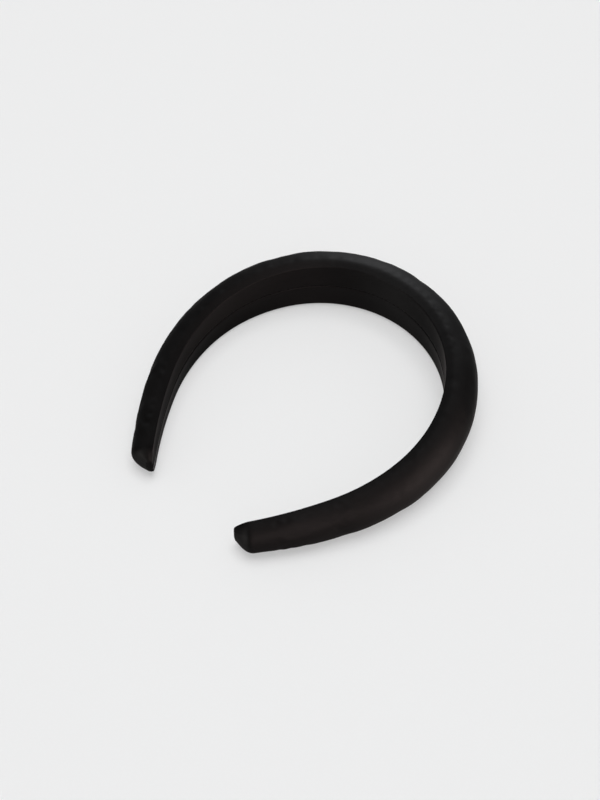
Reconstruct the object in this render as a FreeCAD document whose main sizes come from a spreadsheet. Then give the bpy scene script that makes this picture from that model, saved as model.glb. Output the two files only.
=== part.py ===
import FreeCAD, Part

# Padded satin headband: a sprung plastic hoop, a foam pad and a sewn satin cover.
#
# The band is drawn in its own plane and then laid on its side, as it rests on a table.
# In the band's plane X runs across the head, Y from the two tips to the crown, and Z
# across the band's width. Every layer is a loft through sections that stand square to
# the hoop's curve. A section's own x is the distance out from the inner face, and its
# y is the distance along the width.
#
# The hoop bends all along its length when the band is put on. Three rigid segments
# stand for that: the crown and two arms, which meet at the hinge angle on both sides.

import os
from collections import namedtuple

import Sketcher

SIZES = {
    # the curve of the inner face: four tangent arcs a side, from the crown to the tip
    "crown_radius": 60.1,
    "shoulder_radius": 72.2,
    "temple_radius": 91.4,
    "tail_radius": 223.3,
    # the direction in which each arc ends, in degrees round from the crown
    "hinge_angle": 58.8,
    "shoulder_angle": 96.0,
    "temple_angle": 117.4,
    "tip_angle": 129.2,
    # the padded section, and how it tapers with the drop below the crown
    "crown_width": 30.0,
    "tip_width": 14.4,
    "width_power": 1.3,
    "crown_depth": 15.5,
    "tip_depth": 10.9,
    "depth_power": 1.5,
    "bulge": 1.09,
    "side_share": 0.31,
    "shoulder_share": 0.62,
    # the seam ridge on the inner face, and the groove that holds its thread
    "ridge": 0.4,
    "groove_depth": 0.55,
    "groove_width": 0.8,
    "thread_radius": 0.2,
    "thread_gap": 0.03,
    # the blunt end: its length, what is left of the depth and the width there, and how
    # they fall towards it
    "end_length": 7.0,
    "end_depth": 0.35,
    "end_width": 0.62,
    "end_power": 2.0,
    # layers, from the inner face outwards
    "fabric": 0.5,
    "hoop_base": 0.65,
    "hoop_top": 2.45,
    "hoop_margin": 1.3,
    "tape_base": 2.5,
    "tape_top": 2.8,
    "tape_margin": 2.0,
    "foam_base": 2.9,
    "foam_skin": 0.85,
    # where the layers stop short of the tip, measured along the curve
    "cavity_short": 2.2,
    "hoop_short": 3.2,
    "foam_short": 3.4,
    "tape_short": 5.0,
    "thread_short": 0.8,
    # the glue that holds the tucked end of the cover to the hoop
    "glue_base": 0.75,
    "glue_top": 2.3,
    "glue_width": 6.0,
    "glue_start": 3.1,
    "glue_stop": 2.3,
    # the stitches that close each tip
    "stitch_reach": 3.0,
    "stitch_rise": 0.8,
    "stitch_height": 1.9,
    "stitch_gap": 0.05,
    # half of the gap between two segments, as an angle, and the pose on the table
    "gap_angle": 0.14,
    "rest_tilt": 3.04,
    "rest_shift": 66.08,
    "rest_height": 16.795,
}

ARCS = (
    ("crown_radius", "hinge_angle"),
    ("shoulder_radius", "shoulder_angle"),
    ("temple_radius", "temple_angle"),
    ("tail_radius", "tip_angle"),
)
TAIL = len(ARCS) - 1
LEFT = -1
RIGHT = 1
SIDE_NAMES = {LEFT: "left", RIGHT: "right"}
STITCHES = 3

# How far out the thread's centre lies: inside the inner face, so below zero.
THREAD_OUT = "(Sizes.groove_depth - Sizes.ridge - Sizes.thread_radius - Sizes.thread_gap)"

# The two axes and the origin, as a sketch's constraints name them.
AXIS = -1
UPRIGHT = -2
ORIGIN = (-1, 1)
START = 1
END = 2
CENTRE = 3

# side: LEFT or RIGHT. angle: an expression, in degrees. arc: the index in ARCS.
# rounded: whether the section shares in the blunt end.
Station = namedtuple("Station", "side angle arc rounded")

doc = FreeCAD.newDocument("padded_headband")
sheet = doc.addObject("Spreadsheet::Sheet", "Sizes")
nodes = []


def fill_sheet():
    """Writes each driving size to a cell of its own, with its name as the alias."""
    for row, (name, value) in enumerate(SIZES.items(), start=1):
        sheet.set(f"A{row}", name)
        sheet.set(f"B{row}", str(value))
        sheet.setAlias(f"B{row}", name)
    doc.recompute()


def number(expression):
    """What an expression is worth now, as a plain number."""
    value = sheet.evalExpression(expression)
    return float(getattr(value, "Value", value))


# ---------------------------------------------------------------- the hoop's curve


def curve_sum(station, out, trig):
    """The sum of tangent-arc terms that gives one coordinate of a point."""
    terms = [f"(Sizes.{ARCS[station.arc][0]} + {out}) * {trig}({station.angle})"]
    for arc in range(station.arc):
        step = f"(Sizes.{ARCS[arc][0]} - Sizes.{ARCS[arc + 1][0]})"
        terms.append(f"{step} * {trig}(Sizes.{ARCS[arc][1]})")
    return " + ".join(terms)


def across(station, out="0"):
    """X of the point that lies out millimetres outside the inner face."""
    return f"{station.side} * ({curve_sum(station, out, 'sin')})"


def along(station, out="0"):
    """Y of the same point, counted from the crown's inner face."""
    return f"({curve_sum(station, out, 'cos')} - Sizes.crown_radius)"


def short_of_tip(length):
    """The angle of the section that lies length millimetres before the tip."""
    return f"(Sizes.tip_angle - {length} / Sizes.tail_radius * 180 / pi)"


TIP = Station(RIGHT, "Sizes.tip_angle", TAIL, False)


def taper(station, crown, tip, power):
    """A size that falls from the crown to the tip with the drop below the crown."""
    drop = f"abs({along(station)} / {along(TIP)})"
    return f"(Sizes.{crown} - (Sizes.{crown} - Sizes.{tip}) * {drop} ^ Sizes.{power})"


def end_factor(station, least):
    """1 along the band, and a curve down to least over the blunt end."""
    if not station.rounded:
        return "1"
    left = f"(Sizes.tip_angle - {station.angle}) * pi / 180 * Sizes.tail_radius"
    share = f"(1 - min(1; abs({left}) / Sizes.end_length))"
    return f"(Sizes.{least} + (1 - Sizes.{least}) * (1 - {share} ^ Sizes.end_power))"


def half_width(station):
    """Half of the inner face's width at a station."""
    width = taper(station, "crown_width", "tip_width", "width_power")
    return f"({width} / 2 * {end_factor(station, 'end_width')})"


def pad_depth(station):
    """The band's depth at a station, from the inner face to the top of the pad."""
    depth = taper(station, "crown_depth", "tip_depth", "depth_power")
    return f"({depth} * {end_factor(station, 'end_depth')})"


def crown_stations():
    """Sections of the crown segment, from its left end to its right end."""
    steps = 5
    reach = "(Sizes.hinge_angle - Sizes.gap_angle)"
    found = []
    for i in range(-steps, steps + 1):
        side = LEFT if i < 0 else RIGHT
        found.append(Station(side, f"({reach} * {abs(i)} / {steps})", 0, False))
    return found


def arm_stations(side, short="0"):
    """Sections of one arm, from the hinge to a length short of the tip."""
    start = "(Sizes.hinge_angle + Sizes.gap_angle)"
    found = [Station(side, start, 1, False)]
    for arc, low, steps in ((1, start, 5), (2, "Sizes.shoulder_angle", 3)):
        high = f"Sizes.{ARCS[arc][1]}"
        for i in range(1, steps + 1):
            found.append(Station(side, f"({low} + ({high} - {low}) * {i} / {steps})", arc, False))
    end_start = short_of_tip("Sizes.end_length")
    for share in ("1 / 3", "2 / 3", "1"):
        angle = f"(Sizes.temple_angle + ({end_start} - Sizes.temple_angle) * {share})"
        found.append(Station(side, angle, TAIL, False))
    for share in (0.6, 0.3, 0.12, 0.03, 0):
        length = f"({short} + (Sizes.end_length - {short}) * {share})"
        found.append(Station(side, short_of_tip(length), TAIL, True))
    return found


def thread_stations(side):
    """Where the arcs of one arm's thread start and end."""
    start = "(Sizes.hinge_angle + Sizes.gap_angle)"
    found = [Station(side, start, 1, False)]
    for arc in (1, 2):
        found.append(Station(side, f"Sizes.{ARCS[arc][1]}", arc, False))
    found.append(Station(side, short_of_tip("Sizes.thread_short"), TAIL, False))
    return found


# ---------------------------------------------------------------- section sketches


def add_sketch(body, role, label):
    """An empty sketch in the body, on one of the body's own origin planes."""
    sketch = body.newObject("Sketcher::SketchObject", label)
    plane = next(f for f in body.Origin.OriginFeatures if f.Role == role)
    sketch.AttachmentSupport = [(plane, "")]
    sketch.MapMode = "FlatFace"
    return sketch


def station_sketch(body, station, label):
    """An empty sketch that stands square to the hoop's curve at a station."""
    sketch = add_sketch(body, "XZ_Plane", label)
    turn = FreeCAD.Rotation(FreeCAD.Vector(0, 1, 0), 90)
    sketch.AttachmentOffset = FreeCAD.Placement(FreeCAD.Vector(), turn)
    sketch.setExpression("AttachmentOffset.Base.x", across(station))
    sketch.setExpression("AttachmentOffset.Base.z", f"0 - {along(station)}")
    sketch.setExpression(
        "AttachmentOffset.Rotation.Angle", f"90 - ({station.side}) * {station.angle}"
    )
    return sketch


def dimension(sketch, kind, where, expression):
    """Adds a dimension that is bound to an expression over the sheet."""
    index = sketch.addConstraint(Sketcher.Constraint(kind, *where, number(expression)))
    sketch.setExpression(f"Constraints[{index}]", expression)


def relate(sketch, kind, *where):
    """Adds a geometric constraint."""
    sketch.addConstraint(Sketcher.Constraint(kind, *where))


def add_lines(sketch, points):
    """Adds a chain of lines through (x, y) points and returns their indices."""
    found = []
    for one, two in zip(points, points[1:]):
        line = Part.LineSegment(FreeCAD.Vector(*one, 0), FreeCAD.Vector(*two, 0))
        found.append(sketch.addGeometry(line, False))
    for one, two in zip(found, found[1:]):
        relate(sketch, "Coincident", one, END, two, START)
    return found


def add_arc(sketch, centre, start, end):
    """Adds the anticlockwise arc about a centre from one (x, y) point to another."""
    middle = FreeCAD.Vector(*centre, 0)
    first = FreeCAD.Vector(*start, 0) - middle
    last = FreeCAD.Vector(*end, 0) - middle
    circle = Part.Circle(middle, FreeCAD.Vector(0, 0, 1), first.Length)
    x_axis = FreeCAD.Vector(1, 0, 0)
    y_axis = FreeCAD.Vector(0, 1, 0)
    angles = []
    for ray in (first, last):
        angle = ray.getAngle(x_axis)
        angles.append(angle if ray.dot(y_axis) >= 0 else -angle)
    return sketch.addGeometry(Part.ArcOfCircle(circle, *angles), False)


def dome(sketch, base, top, corner, widest, side, radius):
    """Draws the padded outside and dimensions it; returns its first and last edge.

    It runs from the lower inner corner round to the upper one: a side up to the widest
    point, a shoulder arc, then half of the flatter arc over the top, twice. Every size
    is an expression: base and top along x, and corner and widest as half widths.
    """
    low, high = number(base), number(top)
    half, wide = number(corner), number(widest)
    turn, small = number(side), number(radius)
    rise = high - turn
    large = (wide**2 + rise**2 - 2 * wide * small) / (2 * (rise - small))
    hub = high - large
    join_x = hub + large * (turn - hub) / (large - small)
    join_y = large * (wide - small) / (large - small)

    lower_side = add_lines(sketch, [(low, -half), (turn, -wide)])[0]
    lower_shoulder = add_arc(sketch, (turn, small - wide), (turn, -wide), (join_x, -join_y))
    lower_top = add_arc(sketch, (hub, 0), (join_x, -join_y), (high, 0))
    upper_top = add_arc(sketch, (hub, 0), (high, 0), (join_x, join_y))
    upper_shoulder = add_arc(sketch, (turn, wide - small), (join_x, join_y), (turn, wide))
    upper_side = add_lines(sketch, [(turn, wide), (low, half)])[0]

    relate(sketch, "Coincident", lower_side, END, lower_shoulder, START)
    relate(sketch, "Tangent", lower_shoulder, END, lower_top, START)
    relate(sketch, "Coincident", lower_top, END, upper_top, START)
    relate(sketch, "Coincident", lower_top, CENTRE, upper_top, CENTRE)
    relate(sketch, "PointOnObject", upper_top, CENTRE, AXIS)
    relate(sketch, "PointOnObject", upper_top, START, AXIS)
    relate(sketch, "Tangent", upper_top, END, upper_shoulder, START)
    relate(sketch, "Coincident", upper_shoulder, END, upper_side, START)
    relate(sketch, "Symmetric", lower_side, START, upper_side, END, AXIS)
    relate(sketch, "Symmetric", lower_side, END, upper_side, START, AXIS)
    relate(sketch, "Vertical", lower_shoulder, CENTRE, lower_side, END)
    relate(sketch, "Vertical", upper_shoulder, CENTRE, upper_side, START)
    dimension(sketch, "DistanceX", (*ORIGIN, upper_side, START), side)
    dimension(sketch, "DistanceY", (*ORIGIN, upper_side, START), widest)
    dimension(sketch, "Radius", (upper_shoulder,), radius)
    dimension(sketch, "DistanceX", (*ORIGIN, upper_top, START), top)
    dimension(sketch, "DistanceY", (*ORIGIN, upper_side, END), corner)
    return lower_side, upper_side


def dome_sizes(station, base, skin, least_side="0"):
    """The dome's sizes at a station, offset inwards by the thickness skin."""
    depth = pad_depth(station)
    half = half_width(station)
    side = f"max({depth} * Sizes.side_share; {least_side})"
    return {
        "base": base,
        "top": f"({depth} - {skin})",
        "corner": f"({half} - {skin})",
        "widest": f"({half} * Sizes.bulge - {skin})",
        "side": side,
        "radius": f"({depth} * (1 - Sizes.side_share) * Sizes.shoulder_share - {skin})",
    }


def draw_outside(sketch, station):
    """The whole padded section, with the seam's ridge and groove on its inner face."""
    sizes = dome_sizes(station, "0", "0")
    lower_side, upper_side = dome(sketch, **sizes)
    half = number(sizes["corner"])
    ridge = number("Sizes.ridge")
    floor = ridge - number("Sizes.groove_depth")
    lip = number("Sizes.groove_width / 2")
    points = [(0, half), (-ridge, lip), (-floor, lip), (-floor, -lip), (-ridge, -lip), (0, -half)]
    slope, upper_lip, bottom, lower_lip, lower_slope = add_lines(sketch, points)
    relate(sketch, "Coincident", upper_side, END, slope, START)
    relate(sketch, "Coincident", lower_slope, END, lower_side, START)
    relate(sketch, "PointOnObject", slope, START, UPRIGHT)
    relate(sketch, "Horizontal", upper_lip)
    relate(sketch, "Horizontal", lower_lip)
    relate(sketch, "Symmetric", bottom, START, bottom, END, AXIS)
    relate(sketch, "Vertical", slope, END, lower_slope, START)
    dimension(sketch, "DistanceX", (slope, END, *ORIGIN), "Sizes.ridge")
    dimension(sketch, "DistanceX", (upper_lip, START, upper_lip, END), "Sizes.groove_depth")
    dimension(sketch, "DistanceY", (*ORIGIN, upper_lip, END), "Sizes.groove_width / 2")


def draw_inside(sketch, station, base, skin, least_side="0"):
    """A padded section with a flat base, offset inwards by the thickness skin."""
    sizes = dome_sizes(station, base, skin, least_side)
    lower_side, upper_side = dome(sketch, **sizes)
    low = number(base)
    half = number(sizes["corner"])
    face = add_lines(sketch, [(low, half), (low, -half)])[0]
    relate(sketch, "Coincident", upper_side, END, face, START)
    relate(sketch, "Coincident", face, END, lower_side, START)
    dimension(sketch, "DistanceX", (*ORIGIN, face, START), base)


def draw_strip(sketch, base, top, half):
    """A flat strip's section: a rectangle between two depths, centred on the width."""
    low, high, reach = number(base), number(top), number(half)
    points = [(low, reach), (low, -reach), (high, -reach), (high, reach), (low, reach)]
    inner, lower, outer, upper = add_lines(sketch, points)
    relate(sketch, "Coincident", upper, END, inner, START)
    relate(sketch, "Vertical", outer)
    relate(sketch, "Horizontal", upper)
    relate(sketch, "Horizontal", lower)
    relate(sketch, "Symmetric", inner, START, inner, END, AXIS)
    dimension(sketch, "DistanceX", (*ORIGIN, inner, START), base)
    dimension(sketch, "DistanceX", (*ORIGIN, outer, END), top)
    dimension(sketch, "DistanceY", (*ORIGIN, inner, START), half)


def pin(sketch, where, x=None, y=None):
    """Dimensions a point from the origin, along x, y or both; each is an expression."""
    for kind, expression, axis in (("DistanceX", x, UPRIGHT), ("DistanceY", y, AXIS)):
        if expression is None:
            continue
        value = number(expression)
        if abs(value) < 1e-9:
            relate(sketch, "PointOnObject", *where, axis)
        elif value > 0:
            dimension(sketch, kind, (*ORIGIN, *where), expression)
        else:
            dimension(sketch, kind, (*where, *ORIGIN), f"0 - ({expression})")


def draw_polygon(sketch, corners):
    """A closed chain of lines through corners, each pinned by its x and y expressions."""
    points = [(number(x), number(y)) for x, y in corners]
    lines = add_lines(sketch, [*points, points[0]])
    relate(sketch, "Coincident", lines[-1], END, lines[0], START)
    for line, (x, y) in zip(lines, corners):
        pin(sketch, (line, START), x, y)


def draw_thread(sketch):
    """The thread's section, a regular hexagon clear of the groove's floor."""
    corners = []
    for i in range(6):
        x = f"{THREAD_OUT} + Sizes.thread_radius * cos({60 * i})"
        y = f"Sizes.thread_radius * sin({60 * i})" if i % 3 else "0"
        corners.append((x, y))
    draw_polygon(sketch, corners)


def draw_stitches(sketch):
    """A zigzag of thread: two parallel chains of lines, joined at both ends."""
    near = []
    far = []
    for i in range(-STITCHES, STITCHES + 1):
        lean = "+" if i % 2 else "-"
        middle = f"Sizes.stitch_height {lean} Sizes.stitch_rise"
        y = f"Sizes.stitch_reach * {i} / {STITCHES}"
        near.append((f"{middle} - Sizes.thread_radius", y))
        far.append((f"{middle} + Sizes.thread_radius", y))
    draw_polygon(sketch, near + far[::-1])


# ---------------------------------------------------------------- building a node


def lay_on_table(node):
    """Tips the band on to its side, with the crown's edge and the arms on the table."""
    turn = FreeCAD.Rotation(FreeCAD.Vector(1, 0, 0), SIZES["rest_tilt"])
    node.Placement = FreeCAD.Placement(FreeCAD.Vector(), turn)
    node.setExpression("Placement.Rotation.Angle", "Sizes.rest_tilt")
    node.setExpression("Placement.Base.y", "Sizes.rest_shift")
    node.setExpression("Placement.Base.z", "Sizes.rest_height")


def add_body(name):
    """A body with its label, laid on the table, and listed as a node."""
    body = doc.addObject("PartDesign::Body", name)
    body.Label = name
    lay_on_table(body)
    nodes.append(body)
    return body


def add_loft(body, kind, label, stations, draw):
    """Lofts through a sketch at every station; draw fills in one sketch."""
    sketches = []
    for i, station in enumerate(stations):
        sketch = station_sketch(body, station, f"{label}_section_{i}")
        draw(sketch, station)
        sketches.append(sketch)
    doc.recompute()
    loft = body.newObject(f"PartDesign::{kind}", label)
    loft.Profile = (sketches[0], [""])
    loft.Sections = [(sketch, [""]) for sketch in sketches[1:]]
    loft.Ruled = False
    return loft


def add_cover(name, stations, cavity_stations):
    """A stretch of the satin cover: the padded outside, hollowed by the cavity."""
    body = add_body(name)
    add_loft(body, "AdditiveLoft", f"{name}_outside", stations, draw_outside)
    doc.recompute()
    add_loft(
        body,
        "SubtractiveLoft",
        f"{name}_cavity",
        cavity_stations,
        lambda sketch, station: draw_inside(sketch, station, "Sizes.fabric", "Sizes.fabric"),
    )


def add_foam(name, stations):
    """A stretch of the foam pad, flat where it is taped to the hoop."""
    base = "Sizes.foam_base"
    add_loft(
        add_body(name),
        "AdditiveLoft",
        f"{name}_solid",
        stations,
        lambda sketch, station: draw_inside(
            sketch, station, base, "Sizes.foam_skin", f"{base} + 0.2"
        ),
    )


def add_strip(name, stations, layer):
    """A stretch of a flat layer, the hoop or the tape, that follows the curve."""
    add_loft(
        add_body(name),
        "AdditiveLoft",
        f"{name}_solid",
        stations,
        lambda sketch, station: draw_strip(
            sketch,
            f"Sizes.{layer}_base",
            f"Sizes.{layer}_top",
            f"({half_width(station)} - Sizes.{layer}_margin)",
        ),
    )


def arc_centre(station):
    """X and Y of the centre of the arc that holds a station."""
    x = ["0"]
    y = ["0 - Sizes.crown_radius"]
    for arc in range(station.arc):
        step = f"(Sizes.{ARCS[arc][0]} - Sizes.{ARCS[arc + 1][0]})"
        x.append(f"{step} * sin(Sizes.{ARCS[arc][1]})")
        y.append(f"{step} * cos(Sizes.{ARCS[arc][1]})")
    return f"{station.side} * ({' + '.join(x)})", f"({' + '.join(y)})"


def draw_path(path, stations, out):
    """A chain of tangent arcs, one from each station to the next, out from the inner face.

    An arc is drawn anticlockwise, which is towards the tip on the left side only.
    """
    last = None
    for one, two in zip(stations, stations[1:]):
        centre = arc_centre(two)
        first = one._replace(arc=two.arc)
        ends = [(across(station, out), along(station, out)) for station in (first, two)]
        near, far = (START, END) if two.side == LEFT else (END, START)
        order = ends if two.side == LEFT else ends[::-1]
        arc = add_arc(path, *[(number(x), number(y)) for x, y in (centre, *order)])
        pin(path, (arc, CENTRE), *centre)
        if last is None:
            pin(path, (arc, near), *ends[0])
        else:
            relate(path, "Coincident", *last, arc, near)
        if two.arc == 0:
            pin(path, (arc, far), x=ends[1][0])
        else:
            pin(path, (arc, far), y=ends[1][1])
        last = (arc, far)


def add_thread(name, stations):
    """A stretch of the seam's thread: a hexagon piped along the groove of the ridge."""
    body = add_body(name)
    path = add_sketch(body, "XY_Plane", f"{name}_path")
    draw_path(path, stations, THREAD_OUT)
    section = station_sketch(body, stations[0], f"{name}_section")
    draw_thread(section)
    doc.recompute()
    pipe = body.newObject("PartDesign::AdditivePipe", f"{name}_solid")
    pipe.Profile = (section, [""])
    pipe.Spine = (path, [f"Edge{i}" for i in range(1, len(stations))])


def add_glue(name, side):
    """The dab that holds the tucked end of the cover to the end of the hoop."""
    ends = [short_of_tip(f"Sizes.glue_{end}") for end in ("start", "stop")]
    stations = [Station(side, angle, TAIL, True) for angle in ends]
    add_loft(
        add_body(name),
        "AdditiveLoft",
        f"{name}_solid",
        stations,
        lambda sketch, station: draw_strip(
            sketch, "Sizes.glue_base", "Sizes.glue_top", "Sizes.glue_width / 2"
        ),
    )


def add_stitches(name, side):
    """The whip stitches that close a tip, just outside its end face."""
    body = add_body(name)
    beyond = short_of_tip("(0 - Sizes.stitch_gap)")
    sketch = station_sketch(body, Station(side, beyond, TAIL, False), f"{name}_section")
    draw_stitches(sketch)
    pad = body.newObject("PartDesign::Pad", f"{name}_solid")
    pad.Profile = sketch
    pad.setExpression("Length", "2 * Sizes.thread_radius")
    pad.Reversed = side == LEFT


def check(objects):
    """Stops if any object failed to recompute, or a node has no valid solid."""
    for thing in objects:
        if "Invalid" in thing.State or "Error" in thing.State:
            raise RuntimeError(f"{thing.Label} failed: {thing.State}")
    for node in nodes:
        shape = node.Shape
        if shape.isNull() or not shape.isValid() or len(shape.Solids) != 1:
            raise RuntimeError(f"{node.Label} is not one valid solid")


def main():
    fill_sheet()
    crown = crown_stations()
    add_cover("cover_crown", crown, crown)
    add_foam("foam_crown", crown)
    add_strip("tape_crown", crown, "tape")
    add_strip("hoop_crown", crown, "hoop")
    add_thread("seam_thread_crown", [crown[0], crown[-1]])
    for side, name in SIDE_NAMES.items():
        add_cover(
            f"cover_{name}_arm",
            arm_stations(side),
            arm_stations(side, "Sizes.cavity_short"),
        )
        add_foam(f"foam_{name}_arm", arm_stations(side, "Sizes.foam_short"))
        add_strip(f"tape_{name}_arm", arm_stations(side, "Sizes.tape_short"), "tape")
        add_strip(f"hoop_{name}_arm", arm_stations(side, "Sizes.hoop_short"), "hoop")
        add_thread(f"seam_thread_{name}_arm", thread_stations(side))
        add_glue(f"glue_{name}_tip", side)
        add_stitches(f"stitches_{name}_tip", side)
    doc.recompute()
    check(doc.Objects)
    os.makedirs("parts", exist_ok=True)
    for node in nodes:
        node.Shape.exportStep(f"parts/{node.Label}.step")
        box = node.Shape.BoundBox
        print(f"{node.Label}: {node.Shape.Volume:.1f} mm3, z {box.ZMin:.2f} to {box.ZMax:.2f}")


main()
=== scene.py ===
import math

import bmesh
import bpy
import numpy as np
from mathutils import Matrix, Vector, noise


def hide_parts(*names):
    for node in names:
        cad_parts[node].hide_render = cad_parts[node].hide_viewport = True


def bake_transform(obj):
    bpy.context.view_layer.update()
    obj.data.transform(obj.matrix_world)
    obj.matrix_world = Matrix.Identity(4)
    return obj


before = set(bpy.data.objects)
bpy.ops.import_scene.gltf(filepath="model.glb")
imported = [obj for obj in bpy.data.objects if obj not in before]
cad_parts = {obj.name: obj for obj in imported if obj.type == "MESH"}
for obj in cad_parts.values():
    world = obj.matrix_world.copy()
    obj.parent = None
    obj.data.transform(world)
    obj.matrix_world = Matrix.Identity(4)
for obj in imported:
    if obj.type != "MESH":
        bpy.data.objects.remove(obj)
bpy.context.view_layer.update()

MM = 0.001

# ------------------------------------------------------------ the band's own shape, in mm

# Radius of each tangent arc of the inner face, and the heading where it ends.
RADII = (60.1, 72.2, 91.4, 223.3)
HEADINGS = tuple(math.radians(a) for a in (58.8, 96.0, 117.4, 129.2))
STARTS = (0.0, *HEADINGS[:-1])
LENGTHS = tuple(r * (b - a) for r, a, b in zip(RADII, STARTS, HEADINGS))
REACH = sum(LENGTHS)

CROWN_WIDTH, TIP_WIDTH, WIDTH_POWER = 30.0, 14.4, 1.3
CROWN_DEPTH, TIP_DEPTH, DEPTH_POWER = 15.5, 10.9, 1.5
BULGE = 1.09
SIDE_SHARE = 0.31
DOME_POWER = 2.15
RIDGE = 0.4
GROOVE = 0.55
END_LENGTH, END_DEPTH, END_WIDTH, END_POWER = 7.0, 0.35, 0.62, 2.0

# Each layer lies between a base and a top depth, keeps a margin from the edge of the inner
# face and stops short of the tip.
HOOP_BASE, HOOP_TOP, HOOP_MARGIN, HOOP_EDGE, HOOP_SHORT = 0.65, 2.45, 1.3, 0.5, 3.2
TAPE_BASE, TAPE_TOP, TAPE_MARGIN, TAPE_EDGE, TAPE_SHORT = 2.5, 2.8, 2.0, 0.1, 5.0
FOAM_BASE, FOAM_SKIN, FOAM_SHORT = 2.9, 0.9, 3.6
THREAD_SHORT, STITCH_LENGTH = 0.8, 2.4
# the thread's least radius, and how much thicker it is where it stands out of the fabric
THREAD_THIN, THREAD_SWELL = 0.13, 0.05
# where the ridge's side ends, out from the middle, and the depth where the side wall starts
RIDGE_HALF, CREASE = 0.62, 0.62
# how far each flat panel hollows between the ridge and the crease
SAG = 0.22

# How the band lies: tipped on to its side, moved along and lifted on to the table.
TILT = math.radians(3.04)
SHIFT = 66.08
LIFT = 16.795

HINGE_LENGTH = LENGTHS[0]
# half the length either side of the hinge, and the depth in the band, of the two points worked out
# for each half; nothing here turns a half from the crown to its arm
BEND = 50.0
BEND_DEPTH = 7.0

# ------------------------------------------------------------ the cloth, in mm

SWELL_FRAMES = 20
SWELL_CAP = 0.28
DENT_LIFT, SMALL_DENT_LIFT = 0.24, 0.09
FOLD_LIFT, ARM_FOLD_LIFT = 0.08, 0.07
CREASE_LIFT, SEAM_LIFT, GATHER_LIFT = 0.10, 0.07, 0.2
GATHER_LENGTH = 4.5

# ------------------------------------------------------------ the view, in metres

VIEW_AZIMUTH, VIEW_ELEVATION = math.radians(43.0), math.radians(53.2)
VIEW_DISTANCE, VIEW_RIGHT, VIEW_UP = 0.917838, -0.004758, 0.004716


def smooth(low, high, x):
    """0 below low, 1 above high, and a smooth step between them."""
    t = np.clip((x - low) / (high - low), 0.0, 1.0)
    return t * t * (3 - 2 * t)


def curve(s):
    """X, Y and heading of the inner face at signed length s from the crown's centre."""
    left, x, y = abs(s), 0.0, 0.0
    for radius, start, length in zip(RADII, STARTS, LENGTHS):
        step = left if radius == RADII[-1] else min(left, length)
        end = start + step / radius
        x += radius * (math.sin(end) - math.sin(start))
        y += radius * (math.cos(end) - math.cos(start))
        left -= step
        if left <= 0:
            break
    return math.copysign(x, s) if s else 0.0, y, math.copysign(end, s) if s else 0.0


TIP_DROP = abs(curve(REACH)[1])


def taper(s):
    """Half width of the inner face and depth of the pad at s, both drawn in over the last stretch
    before the tip.
    """
    drop = abs(curve(s)[1]) / TIP_DROP
    width = CROWN_WIDTH - (CROWN_WIDTH - TIP_WIDTH) * drop**WIDTH_POWER
    depth = CROWN_DEPTH - (CROWN_DEPTH - TIP_DEPTH) * drop**DEPTH_POWER
    into_end = min(1.0, max(0.0, 1 - (REACH - abs(s)) / END_LENGTH))
    kept = 1 - into_end**END_POWER
    width *= END_WIDTH + (1 - END_WIDTH) * kept
    depth *= END_DEPTH + (1 - END_DEPTH) * kept
    return width / 2, depth


def lay(x, y, z):
    """Band coordinates in mm to the row frame in metres: tipped on to its side."""
    c, s = math.cos(TILT), math.sin(TILT)
    return Vector((x, SHIFT + y * c - z * s, LIFT + y * s + z * c)) * MM


def place(s, out, across):
    """The point out millimetres outside the inner face at s, and across the width."""
    x, y, heading = curve(s)
    return lay(x + out * math.sin(heading), y + out * math.cos(heading), across)


# ------------------------------------------------------------ section outlines


def mirrored(upper):
    """A closed outline from its upper half, whose first and last points are at v = 0."""
    return upper + [(u, -v) for u, v in upper[-2:0:-1]]


def ridge_at(s):
    """Height of the seam's ridge at s. It is lower in the last stretch before a tip."""
    return RIDGE * (0.55 + 0.45 * smooth(0, 14, REACH - abs(s)))


def dome(turn, depth, wide, steps):
    """A superellipse quarter from the widest point at depth turn over to the top."""
    points = []
    for i in range(steps + 1):
        angle = math.pi / 2 * (1 - i / steps)
        u = turn + (depth - turn) * math.cos(angle) ** (2 / DOME_POWER)
        v = wide * math.sin(angle) ** (2 / DOME_POWER)
        points.append((u, v if i < steps else 0.0))
    return points


def cover_outline(s):
    """The satin cover's section: groove, flat inner panels, creases and domed outside."""
    half, depth = taper(s)
    ridge = ridge_at(s)
    upper = [(GROOVE - ridge, 0.0), (0.3 - ridge, 0.22), (-ridge, RIDGE_HALF)]
    for share in (0.1, 0.25, 0.42, 0.6, 0.76, 0.88):
        sag = SAG * math.sin(math.pi * share)
        upper.append((-ridge * (1 - share) + sag, RIDGE_HALF + (half - 1.12) * share))
    upper += [(-0.02, half - 0.42), (0.16, half - 0.06), (CREASE, half + 0.02)]
    turn = depth * SIDE_SHARE
    wide = half * BULGE
    for share in (0.5, 0.78):
        v = half + (wide - half) * math.sin(share * math.pi / 2)
        upper.append((CREASE + (turn - CREASE) * share, v))
    return mirrored(upper + dome(turn, depth, wide, 13))


def foam_outline(s):
    """The foam pad's section, flat where it lies on the tape."""
    half, depth = taper(s)
    reach = half - FOAM_SKIN
    turn = max(depth * SIDE_SHARE, FOAM_BASE + 0.3)
    upper = [(FOAM_BASE, 0.0)]
    upper += [(FOAM_BASE, reach * share) for share in (0.25, 0.5, 0.75, 0.93)]
    upper += [(FOAM_BASE + 0.12, reach)]
    return mirrored(upper + dome(turn, depth - FOAM_SKIN, half * BULGE - FOAM_SKIN, 10))


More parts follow.
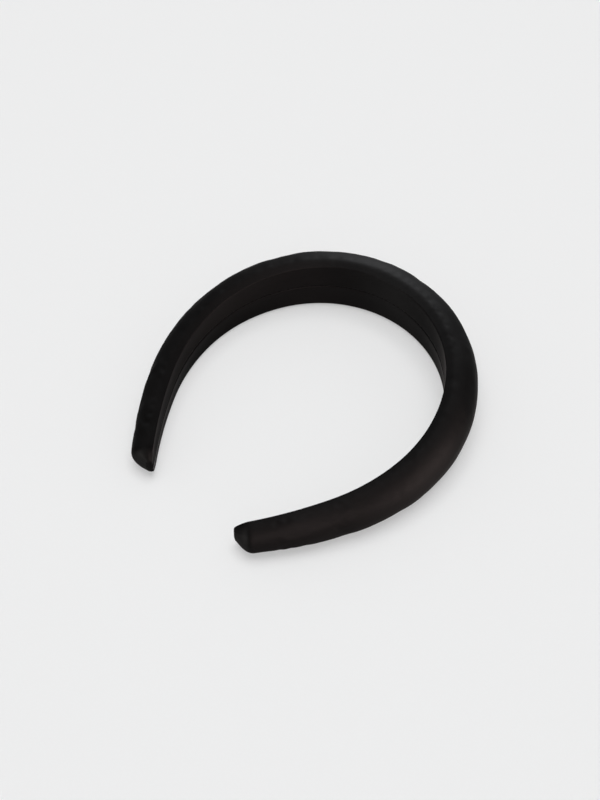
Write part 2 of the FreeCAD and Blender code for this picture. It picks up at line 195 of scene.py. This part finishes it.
def strip_outline(low, high, margin, edge):
    """A flat strip's section between two depths, with its edges rounded by edge."""

    def outline(s):
        reach = max(1.0, taper(s)[0] - margin)
        middle = (low + high) / 2
        upper = [(low, 0.0)]
        upper += [(low, reach * share) for share in (0.35, 0.7)]
        upper += [(low, reach - edge), (low + edge * 0.3, reach - edge * 0.3), (middle, reach)]
        upper += [(high - edge * 0.3, reach - edge * 0.3), (high, reach - edge)]
        upper += [(high, reach * share) for share in (0.7, 0.35)]
        upper += [(high, 0.0)]
        return mirrored(upper)

    return outline


def thread_outline(s):
    """The seam thread's section. It dips into the fabric between one stitch and the next."""
    beat = 0.5 + 0.5 * math.cos(2 * math.pi * s / STITCH_LENGTH)
    radius = THREAD_THIN + THREAD_SWELL * beat
    middle = GROOVE - ridge_at(s) - 0.1 - 0.17 * beat
    sides = 8
    ring = []
    for i in range(sides):
        angle = 2 * math.pi * i / sides
        ring.append((middle - radius * math.cos(angle), radius * math.sin(angle)))
    return ring


# ------------------------------------------------------------ sweeping an outline


def spread(low, high, step):
    """Evenly spaced lengths from low to high, about step apart."""
    count = max(1, round((high - low) / step))
    return [low + (high - low) * i / count for i in range(count + 1)]


def sweep(name, outline, stations, cap):
    """A closed tube through the outline at each station, with a UV map in metres.

    cap is how far, in mm, the rounded cap at each end stands out.
    """
    rings = [[(s, u, v) for u, v in outline(s)] for s in stations]
    for end in (0, -1):
        sign = -1 if end == 0 else 1
        base = rings[end]
        mid_u = sum(p[1] for p in base) / len(base)
        added = []
        for share in (0.9, 0.7, 0.42, 0.16):
            out = sign * cap * math.sqrt(1 - share**2)
            added.append([(s + out, mid_u + (u - mid_u) * share, v * share) for s, u, v in base])
        rings = added[::-1] + rings if end == 0 else rings + added

    mesh = bpy.data.meshes.new(name)
    built = bmesh.new()
    uv_layer = built.loops.layers.uv.new("UVMap")
    count = len(rings[0])
    grid = [[built.verts.new(place(*point)) for point in ring] for ring in rings]
    girth = []
    for ring in rings:
        total, row = 0.0, [0.0]
        for k in range(count):
            a, b = ring[k], ring[(k + 1) % count]
            total += math.hypot(a[1] - b[1], a[2] - b[2])
            row.append(total)
        girth.append([value - total / 2 for value in row])
    for i in range(len(rings) - 1):
        for k in range(count):
            n = (k + 1) % count
            face = built.faces.new((grid[i][k], grid[i + 1][k], grid[i + 1][n], grid[i][n]))
            face.smooth = True
            corners = ((i, k), (i + 1, k), (i + 1, k + 1), (i, k + 1))
            for loop, (ring, column) in zip(face.loops, corners):
                loop[uv_layer].uv = (rings[ring][0][0] * MM, girth[ring][column] * MM)
    for end in (0, -1):
        face = built.faces.new(grid[end] if end == 0 else grid[end][::-1])
        face.smooth = True
        for loop in face.loops:
            loop[uv_layer].uv = (rings[end][0][0] * MM, 0.0)
    bmesh.ops.recalc_face_normals(built, faces=built.faces)
    built.to_mesh(mesh)
    built.free()
    piece = bpy.data.objects.new(name, mesh)
    bpy.context.scene.collection.objects.link(piece)
    return piece, len(rings), count


def apply_modifiers(piece):
    """Replaces the piece's mesh by what its modifiers make of it."""
    graph = bpy.context.evaluated_depsgraph_get()
    made = bpy.data.meshes.new_from_object(piece.evaluated_get(graph), depsgraph=graph)
    piece.modifiers.clear()
    piece.data = made


def subdivide(piece):
    """Applies one level of Catmull-Clark subdivision."""
    modifier = piece.modifiers.new("Smooth", "SUBSURF")
    modifier.levels = 1
    modifier.render_levels = 1
    apply_modifiers(piece)


# ------------------------------------------------------------ the cover


def swell(piece, pinned):
    """Blows the cover up like fabric over foam, and limits how far each point moves."""
    rest = np.array([v.co for v in piece.data.vertices])
    group = piece.vertex_groups.new(name="held")
    for index, weight in enumerate(pinned):
        if weight > 0:
            group.add([index], float(weight), "REPLACE")
    cloth = piece.modifiers.new("Cloth", "CLOTH")
    settings = cloth.settings
    settings.quality = 6
    settings.mass = 0.2
    settings.tension_stiffness = 12
    settings.compression_stiffness = 8
    settings.shear_stiffness = 4
    settings.bending_stiffness = 0.3
    settings.use_pressure = True
    settings.uniform_pressure_force = 4.0
    settings.effector_weights.gravity = 0.0
    settings.vertex_group_mass = "held"
    settings.shrink_min = -0.012
    cloth.collision_settings.use_collision = False
    scene = bpy.context.scene
    cloth.point_cache.frame_start = 1
    cloth.point_cache.frame_end = SWELL_FRAMES
    for step in range(1, SWELL_FRAMES + 1):
        scene.frame_set(step)
    apply_modifiers(piece)
    scene.frame_set(1)
    moved = np.array([v.co for v in piece.data.vertices]) - rest
    far = np.linalg.norm(moved, axis=1)
    cap = SWELL_CAP * MM
    limit = cap * np.tanh(far / cap) / np.maximum(far, 1e-9)
    piece.data.vertices.foreach_set("co", (rest + moved * limit[:, None]).ravel())
    piece.data.update()


def length_at(piece, stations, rings, count):
    """The length along the band, and the place in the outline, of each of the cover's points."""
    lead = (rings - len(stations)) // 2
    s = [stations[0]] * lead + list(stations) + [stations[-1]] * lead
    return np.repeat(s, count), np.tile(np.arange(count), rings)


def value_noise(points, scale, seed):
    """Smooth noise from -1 to 1 at each point, with features about scale mm across."""
    shift = Vector((seed * 7.31, seed * 3.17, seed * 5.53))
    return np.array([noise.noise(Vector(p) / (scale * MM) + shift) for p in points])


def normals_of(piece):
    """The piece's vertex normals as an array."""
    normals = np.zeros(len(piece.data.vertices) * 3, np.float32)
    piece.data.vertex_normals.foreach_get("vector", normals)
    return normals.reshape(-1, 3)


def make_cover():
    """The whole cover as one skin: swelled, wrinkled, then ready to be cut at the crown."""
    stations = spread(-REACH, -REACH + END_LENGTH, 0.9)
    stations += spread(-REACH + END_LENGTH, 0, 1.6)[1:]
    stations += [-s for s in stations[-2::-1]]
    cover, rings, count = sweep("cover", cover_outline, stations, 0.7)
    s, k = length_at(cover, stations, rings, count)
    left = REACH - np.abs(s)
    around = np.minimum(k, count - k) / (count / 2)
    # what holds the cloth still: the flat inner face, the crease beside it and the tips
    face = np.where(around < 0.44, 1.0, 0.0)
    side = np.clip((0.56 - around) / 0.12, 0, 1)
    tip = 1 - smooth(2.0, 24.0, left)
    swell(cover, np.maximum(np.maximum(face, side), tip))

    points = np.array([v.co for v in cover.data.vertices])
    normals = normals_of(cover)
    outside = smooth(0.5, 0.62, around)
    dents = value_noise(points, 17, 1) * DENT_LIFT
    dents += value_noise(points, 6, 2) * SMALL_DENT_LIFT
    # long shallow folds that slant across the pad, stronger towards the tips
    v = np.sign(k - count / 2) * around * 22
    slanted = np.c_[(s + v * 0.8) / 15, v / 4.5, np.zeros_like(s)] * MM
    folds = value_noise(slanted, 1, 5)
    fold_lift = FOLD_LIFT + ARM_FOLD_LIFT * smooth(70, 150, np.abs(s))
    lift = (dents + folds * fold_lift) * outside
    along = np.c_[s * MM, s * 0, s * 0]
    # short puckers that run out from the crease, where the satin turns on to the inner face
    crease = np.exp(-(((around - 0.5) / 0.09) ** 2))
    lift += crease * CREASE_LIFT * value_noise(along, 2.6, 3)
    # finer puckers along the seam
    near_seam = np.exp(-(((around - 0.1) / 0.12) ** 2))
    lift += near_seam * SEAM_LIFT * value_noise(along, 1.7, 4)
    # small gathers where the cover is drawn in and closed at each tip
    gather = (1 - smooth(0.3, GATHER_LENGTH, left)) * (0.3 + 0.7 * outside)
    rays = np.c_[around * 12, np.sign(s), s * 0] * MM
    lift += gather * GATHER_LIFT * value_noise(rays, 1, 6)
    cover.data.vertices.foreach_set(
        "co", (points + normals * (lift * MM)[:, None]).ravel()
    )
    cover.data.update()
    subdivide(cover)
    return cover


def cut_at_crown(piece, name, side):
    """A copy of one half of a piece: the faces left or right of the crown's centre."""
    half = bpy.data.objects.new(name, piece.data.copy())
    bpy.context.scene.collection.objects.link(half)
    cut = bmesh.new()
    cut.from_mesh(half.data)
    wrong = [f for f in cut.faces if f.calc_center_median().x * side < 0]
    bmesh.ops.delete(cut, geom=wrong, context="FACES")
    cut.to_mesh(half.data)
    cut.free()
    return half


# ------------------------------------------------------------ materials


def new_material(name):
    """A new material, with its nodes, its links and its Principled shader."""
    material = bpy.data.materials.new(name)
    material.use_nodes = True
    nodes = material.node_tree.nodes
    shader = next(n for n in nodes if n.type == "BSDF_PRINCIPLED")
    return material, nodes, material.node_tree.links, shader


def add_node(nodes, kind, **values):
    """A node with some of its settings and inputs filled in."""
    node = nodes.new(kind)
    for key, value in values.items():
        if hasattr(node, key):
            setattr(node, key, value)
        else:
            node.inputs[key.replace("_", " ")].default_value = value
    return node


def mix_colours(nodes, links, factor, dark, light):
    """A colour between two, by a factor socket."""
    ramp = nodes.new("ShaderNodeValToRGB")
    ramp.color_ramp.elements[0].color = (*dark, 1)
    ramp.color_ramp.elements[1].color = (*light, 1)
    links.new(factor, ramp.inputs["Fac"])
    return ramp.outputs["Color"]


def add_bump(nodes, links, height, strength, distance, normal=None):
    """A bump node that reads a height socket and may stack on another normal."""
    bump = add_node(nodes, "ShaderNodeBump", Strength=strength, Distance=distance)
    links.new(height, bump.inputs["Height"])
    if normal:
        links.new(normal, bump.inputs["Normal"])
    return bump.outputs["Normal"]


def satin():
    """Black satin: long warp floats along the band, a fine weft, and a broad soft sheen."""
    material, nodes, links, shader = new_material("black_satin")
    uv = nodes.new("ShaderNodeUVMap")
    uv.uv_map = "UVMap"

    def stretched(along, around):
        mapping = nodes.new("ShaderNodeMapping")
        mapping.inputs["Scale"].default_value = (along, around, 1)
        links.new(uv.outputs["UV"], mapping.inputs["Vector"])
        return mapping.outputs["Vector"]

    floats = add_node(nodes, "ShaderNodeTexNoise", Scale=1.0, Detail=3.0, Roughness=0.6)
    links.new(stretched(520, 4200), floats.inputs["Vector"])
    weft = add_node(nodes, "ShaderNodeTexWave", wave_type="BANDS", bands_direction="X")
    weft.inputs["Scale"].default_value = 1.0
    weft.inputs["Distortion"].default_value = 1.5
    links.new(stretched(620, 260), weft.inputs["Vector"])
    cloud = add_node(nodes, "ShaderNodeTexNoise", Scale=1.0, Detail=2.0, Roughness=0.5)
    links.new(stretched(55, 90), cloud.inputs["Vector"])

    colour = mix_colours(
        nodes, links, cloud.outputs["Fac"], (0.0012, 0.0011, 0.0011), (0.005, 0.0043, 0.0042)
    )
    links.new(colour, shader.inputs["Base Color"])
    rough = nodes.new("ShaderNodeMapRange")
    rough.inputs["To Min"].default_value = 0.5
    rough.inputs["To Max"].default_value = 0.62
    links.new(floats.outputs["Fac"], rough.inputs["Value"])
    links.new(rough.outputs["Result"], shader.inputs["Roughness"])

    normal = add_bump(nodes, links, floats.outputs["Fac"], 0.18, 0.00006)
    normal = add_bump(nodes, links, weft.outputs["Fac"], 0.10, 0.00005, normal)
    links.new(normal, shader.inputs["Normal"])
    tangent = add_node(nodes, "ShaderNodeTangent", direction_type="UV_MAP")
    tangent.uv_map = "UVMap"
    links.new(tangent.outputs["Tangent"], shader.inputs["Tangent"])
    shader.inputs["Anisotropic"].default_value = 0.68
    shader.inputs["Anisotropic Rotation"].default_value = 0.25
    shader.inputs["IOR"].default_value = 1.09
    shader.inputs["Specular IOR Level"].default_value = 0.5
    shader.inputs["Sheen Weight"].default_value = 0.07
    shader.inputs["Sheen Roughness"].default_value = 0.22
    shader.inputs["Sheen Tint"].default_value = (1.0, 0.86, 0.83, 1)
    return material


def grainy(name, dark, light, size, roughness, bump, sheen=0.0, ior=1.45):
    """A plain material with a cloudy colour and a fine surface grain."""
    material, nodes, links, shader = new_material(name)
    place_node = nodes.new("ShaderNodeTexCoord")
    cloud = add_node(nodes, "ShaderNodeTexNoise", Scale=1 / (size * 6 * MM), Detail=3.0)
    grain = add_node(nodes, "ShaderNodeTexNoise", Scale=1 / (size * MM), Detail=4.0)
    for texture in (cloud, grain):
        links.new(place_node.outputs["Object"], texture.inputs["Vector"])
    links.new(
        mix_colours(nodes, links, cloud.outputs["Fac"], dark, light), shader.inputs["Base Color"]
    )
    shader.inputs["Roughness"].default_value = roughness
    shader.inputs["IOR"].default_value = ior
    shader.inputs["Sheen Weight"].default_value = sheen
    normal = add_bump(nodes, links, grain.outputs["Fac"], 0.5, bump * MM)
    links.new(normal, shader.inputs["Normal"])
    return material


# ------------------------------------------------------------ putting the band together


def join_point(side, before):
    """A point in the middle of the band, before mm on the crown's side of the hinge."""
    return place(side * (HINGE_LENGTH - before), BEND_DEPTH, 0.0)


def bend(piece, side):
    """Bakes the half's transform into its mesh; the points either side of the hinge are worked out,
    but the half is not bent.
    """
    join_point(side, BEND)
    join_point(side, -BEND)
    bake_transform(piece)


def finish_half(piece, side, material, nodes):
    """Gives one half of a long piece its material, hides the CAD nodes it stands in for and bakes
    its transform.
    """
    piece.data.materials.clear()
    piece.data.materials.append(material)
    for polygon in piece.data.polygons:
        polygon.material_index = 0
    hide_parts(*nodes)
    bend(piece, side)


def build_band():
    """Every layer of the band, in two halves that meet at the crown's centre."""
    black = satin()
    materials = {
        "hoop": grainy("hoop_plastic", (0.012, 0.012, 0.013), (0.02, 0.02, 0.022), 0.25, 0.5, 0.02),
        "foam": grainy("pad_foam", (0.5, 0.48, 0.42), (0.66, 0.63, 0.55), 0.7, 0.95, 0.25),
        "tape": grainy("tissue_tape", (0.72, 0.69, 0.58), (0.82, 0.8, 0.7), 0.4, 0.6, 0.02),
        "seam_thread": grainy(
            "seam_thread", (0.0012, 0.001, 0.001), (0.0024, 0.0022, 0.002), 0.12, 0.8, 0.05, ior=1.06
        ),
        "glue": grainy("set_glue", (0.6, 0.56, 0.42), (0.78, 0.74, 0.6), 0.5, 0.25, 0.03),
    }
    cover = make_cover()
    hoop_outline = strip_outline(HOOP_BASE, HOOP_TOP, HOOP_MARGIN, HOOP_EDGE)
    tape_outline = strip_outline(TAPE_BASE, TAPE_TOP, TAPE_MARGIN, TAPE_EDGE)
    # each layer's outline, how far it stops short of the tip, and its stations' spacing
    long_pieces = {
        "hoop": (hoop_outline, HOOP_SHORT, 3.0),
        "tape": (tape_outline, TAPE_SHORT, 4.0),
        "foam": (foam_outline, FOAM_SHORT, 2.5),
        "seam_thread": (thread_outline, THREAD_SHORT, 0.3),
    }
    for side, arm in ((-1, "left_arm"), (1, "right_arm")):
        name = "left" if side < 0 else "right"
        half = cut_at_crown(cover, f"cover_{name}", side)
        finish_half(half, side, black, [f"cover_{arm}", "cover_crown"])
        for layer, (outline, short, step) in long_pieces.items():
            ends = spread(0, REACH - short, step)
            stations = ends if side > 0 else [-s for s in reversed(ends)]
            piece, _, _ = sweep(f"{layer}_{name}", outline, stations, 0.02)
            nodes = [f"{layer}_{arm}", f"{layer}_crown"]
            finish_half(piece, side, materials[layer], nodes)
    bpy.data.objects.remove(cover)
    for tip in ("left_tip", "right_tip"):
        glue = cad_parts[f"glue_{tip}"]
        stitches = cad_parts[f"stitches_{tip}"]
        for node, material in ((glue, materials["glue"]), (stitches, materials["seam_thread"])):
            node.data.materials.clear()
            node.data.materials.append(material)


def build_table():
    """The pale table under the band. It glows a little, which keeps it pale and even."""
    bpy.ops.mesh.primitive_plane_add(size=6.0, location=(0, 0, 0))
    floor = bpy.context.object
    floor.name = "table"
    material, nodes, links, shader = new_material("pale_table")
    texture = add_node(nodes, "ShaderNodeTexNoise", Scale=900.0, Detail=2.0)
    place_node = nodes.new("ShaderNodeTexCoord")
    links.new(place_node.outputs["Object"], texture.inputs["Vector"])
    colour = mix_colours(
        nodes, links, texture.outputs["Fac"], (0.47, 0.472, 0.474), (0.49, 0.492, 0.494)
    )
    links.new(colour, shader.inputs["Base Color"])
    shader.inputs["Roughness"].default_value = 0.9
    shader.inputs["Specular IOR Level"].default_value = 0.0
    shader.inputs["Emission Color"].default_value = (1.0, 1.0, 1.0, 1)
    shader.inputs["Emission Strength"].default_value = 0.41
    floor.data.materials.append(material)


def softbox(name, azimuth, elevation, distance, size, power, colour, aim=(0, 0, 0.01)):
    """A rectangular light that, as made, shows only in reflections."""
    a, e = math.radians(azimuth), math.radians(elevation)
    towards = Vector((math.sin(a) * math.cos(e), -math.cos(a) * math.cos(e), math.sin(e)))
    light = bpy.data.lights.new(name, "AREA")
    light.shape = "RECTANGLE"
    light.size, light.size_y = size
    light.energy = power
    light.color = colour
    lamp = bpy.data.objects.new(name, light)
    lamp.location = Vector(aim) + towards * distance
    lamp.rotation_mode = "QUATERNION"
    lamp.rotation_quaternion = (-towards).to_track_quat("-Z", "Y")
    lamp.visible_diffuse = False
    bpy.context.scene.collection.objects.link(lamp)
    return lamp


def build_light():
    """A weak even surround, four softboxes for the sheen and one overhead for the table."""
    world = bpy.data.worlds.new("room")
    bpy.context.scene.world = world
    world.use_nodes = True
    background = next(n for n in world.node_tree.nodes if n.type == "BACKGROUND")
    background.inputs["Color"].default_value = (1.0, 1.0, 1.0, 1)
    background.inputs["Strength"].default_value = 0.34
    world.cycles_visibility.glossy = False

    softbox("window", 108, 5, 1.2, (1.0, 0.4), 100.0, (1.0, 0.80, 0.76))
    softbox("front", 54, 32, 1.4, (1.2, 0.8), 88.0, (1.0, 0.82, 0.80))
    softbox("back", 216, 36, 1.0, (0.11, 0.4), 33.0, (0.95, 0.97, 1.0), (0, 0.03, 0.03))
    softbox("side", 345, 8, 1.2, (0.6, 0.35), 40.0, (1.0, 0.95, 0.93))
    overhead = softbox("overhead", 0, 90, 2.5, (1.8, 1.8), 42.0, (1.0, 1.0, 1.0))
    overhead.visible_diffuse = True
    overhead.visible_glossy = False


def build_camera():
    """The camera, looking down on the band from the front right."""
    level = math.cos(VIEW_ELEVATION)
    east, north = math.cos(VIEW_AZIMUTH), math.sin(VIEW_AZIMUTH)
    back = Vector((north * level, -east * level, math.sin(VIEW_ELEVATION)))
    right = Vector((east, north, 0))
    up = back.cross(right)
    lens = bpy.data.cameras.new("camera")
    lens.lens = 86.0
    lens.sensor_width = 36.0
    lens.clip_start, lens.clip_end = 0.05, 20.0
    camera = bpy.data.objects.new("camera", lens)
    camera.matrix_world = Matrix((right, up, back)).transposed().to_4x4()
    camera.location = back * VIEW_DISTANCE + right * VIEW_RIGHT + up * VIEW_UP
    bpy.context.scene.collection.objects.link(camera)
    bpy.context.scene.camera = camera
    bpy.context.scene.view_settings.view_transform = "Standard"


build_band()
build_table()
build_light()
build_camera()
